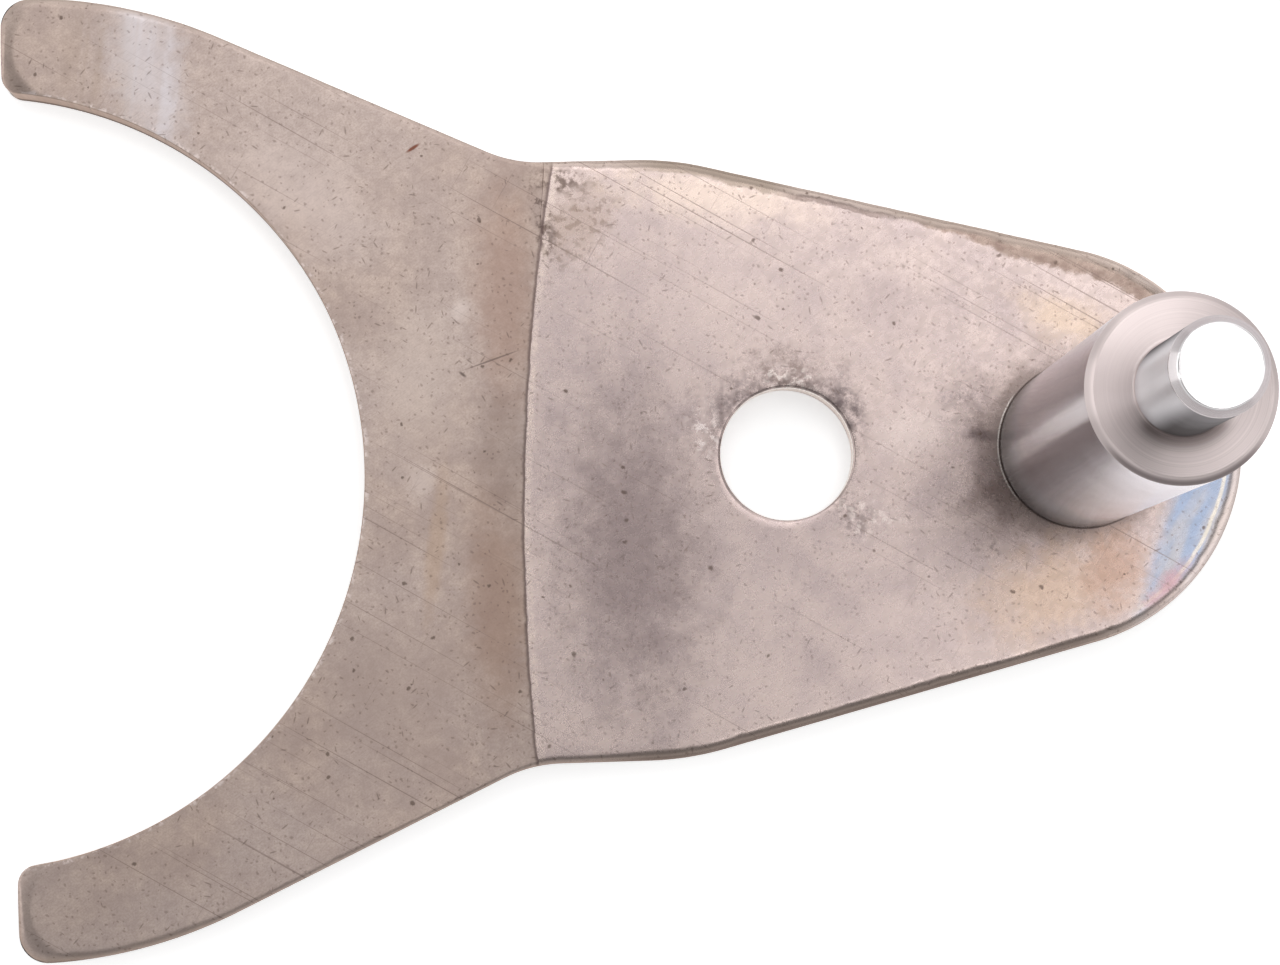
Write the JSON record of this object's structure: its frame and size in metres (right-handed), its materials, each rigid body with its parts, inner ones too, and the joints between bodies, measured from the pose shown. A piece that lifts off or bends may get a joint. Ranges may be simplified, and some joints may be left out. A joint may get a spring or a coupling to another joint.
{
  "type": "transmission shift fork",
  "caption": "Flat steel shift fork: half-round mouth between ground tines, round hole in a tapered body, and a tall stepped guide pin standing on it.",
  "frame": {"origin": "centre of the plate's round hole, on the plate's back face", "axes": "+X along the plate's middle line from the fork mouth to the guide pin, +Z square to the plate, up the guide pin"},
  "size_m": [0.0894, 0.07, 0.0626],
  "materials": {
    "plate_steel": "ground and worn, stained, with straw and blue heat tint at the pin",
    "pin_steel": "fine ground"
  },
  "bodies": {
    "root": {"fork_plate": "plate_steel", "guide_pin": "pin_steel"}
  },
  "joints": []
}
